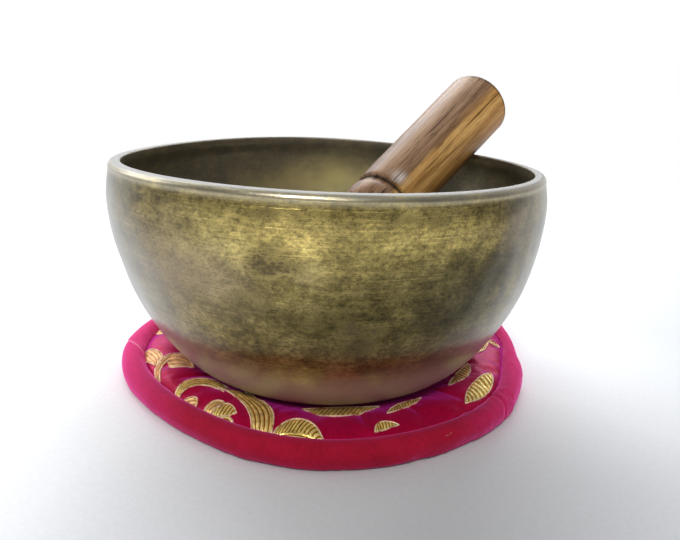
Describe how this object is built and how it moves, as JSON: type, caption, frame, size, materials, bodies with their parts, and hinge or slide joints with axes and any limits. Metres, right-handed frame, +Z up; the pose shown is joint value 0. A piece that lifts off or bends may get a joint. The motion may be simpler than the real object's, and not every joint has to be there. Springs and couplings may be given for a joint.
{
  "type": "singing bowl",
  "caption": "Round hammered bronze singing bowl on a padded brocade cushion, with a turned wooden mallet leaning inside it.",
  "frame": {"origin": "on the table, at the cushion's underside, below the bowl's own axis", "axes": "+Z up along the bowl's axis; -Y towards the viewer of the picture; the mallet leans towards +X and +Y"},
  "size_m": [0.1794, 0.1794, 0.1272],
  "materials": {
    "bronze": "aged hammered bronze with an olive-brown patina and fine turning lines",
    "walnut": "polished dark-grained hardwood",
    "brocade": "magenta satin with woven metallic gold motifs",
    "lining": "plain woven cotton",
    "wadding": "cotton wadding",
    "fuchsia_cotton": "plain fuchsia cotton, bias cut"
  },
  "bodies": {
    "cushion": {"base_cloth": "lining", "filling_pad": "wadding", "brocade_top": "brocade", "binding_cord": "wadding", "binding_front": "fuchsia_cotton", "binding_rear": "fuchsia_cotton"},
    "bowl": {"bowl": "bronze"},
    "mallet": {"mallet": "walnut"}
  },
  "joints": [
    {"name": "bowl_lift", "type": "slide", "parent": "cushion", "child": "bowl", "axis": [0, 0, 1], "range_m": [0, 0.15]},
    {"name": "mallet_draw", "type": "slide", "parent": "bowl", "child": "mallet", "axis": [0.5726, 0.6634, 0.4818], "range_m": [0, 0.2]}
  ]
}
